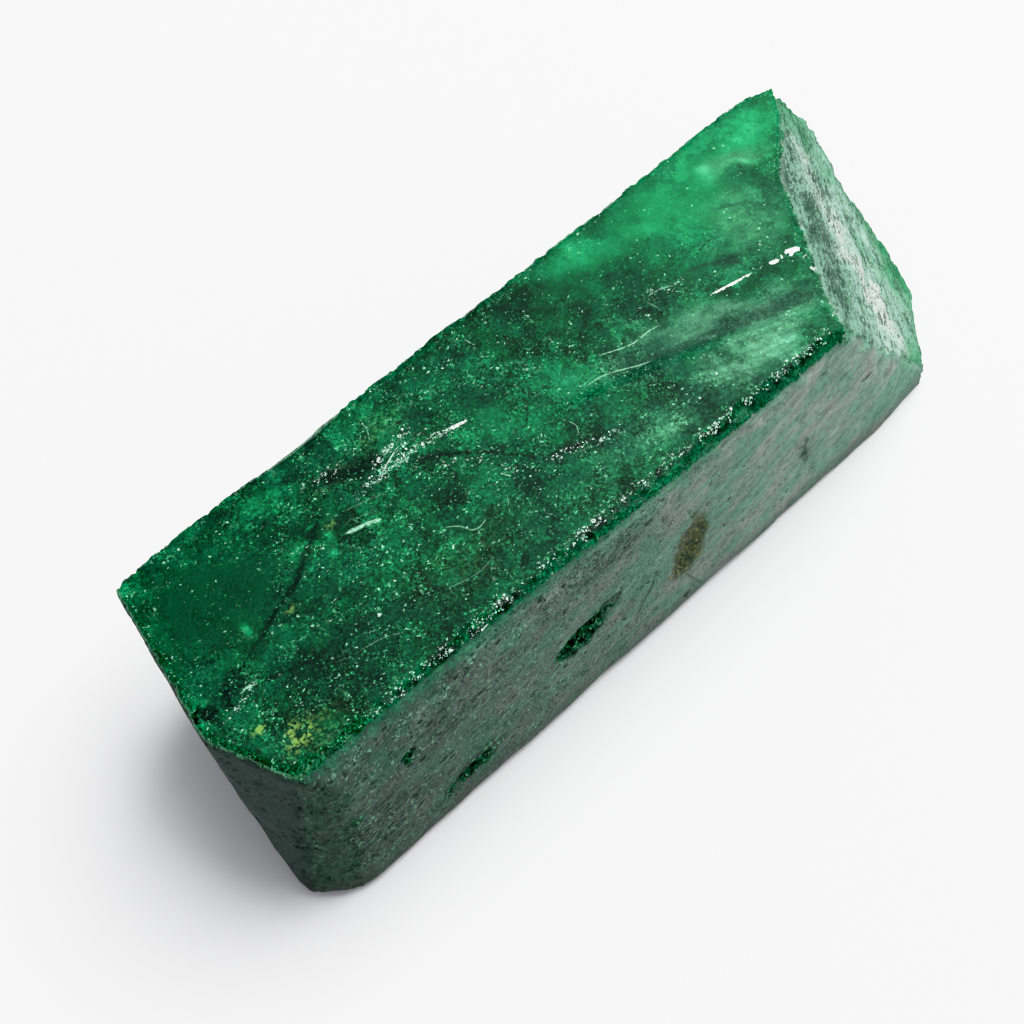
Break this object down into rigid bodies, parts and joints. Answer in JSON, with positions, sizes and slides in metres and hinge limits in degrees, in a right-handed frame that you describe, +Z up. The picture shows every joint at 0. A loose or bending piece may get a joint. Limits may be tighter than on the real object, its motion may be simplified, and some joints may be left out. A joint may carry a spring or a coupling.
{
  "type": "raw emerald crystal",
  "caption": "Rough block of deep green beryl with a flat glassy top, a frosted pitted front and a splintered end, lying on its flat underside.",
  "frame": {"origin": "under the middle of the bounding box, on the ground", "axes": "+X along the block towards its splintered end, +Y towards its back, +Z up from the flat underside"},
  "size_m": [0.0709, 0.0228, 0.0161],
  "materials": {
    "emerald": "glassy on top, frosted on the sides"
  },
  "bodies": {
    "root": {"emerald_crystal": "emerald"}
  },
  "joints": []
}
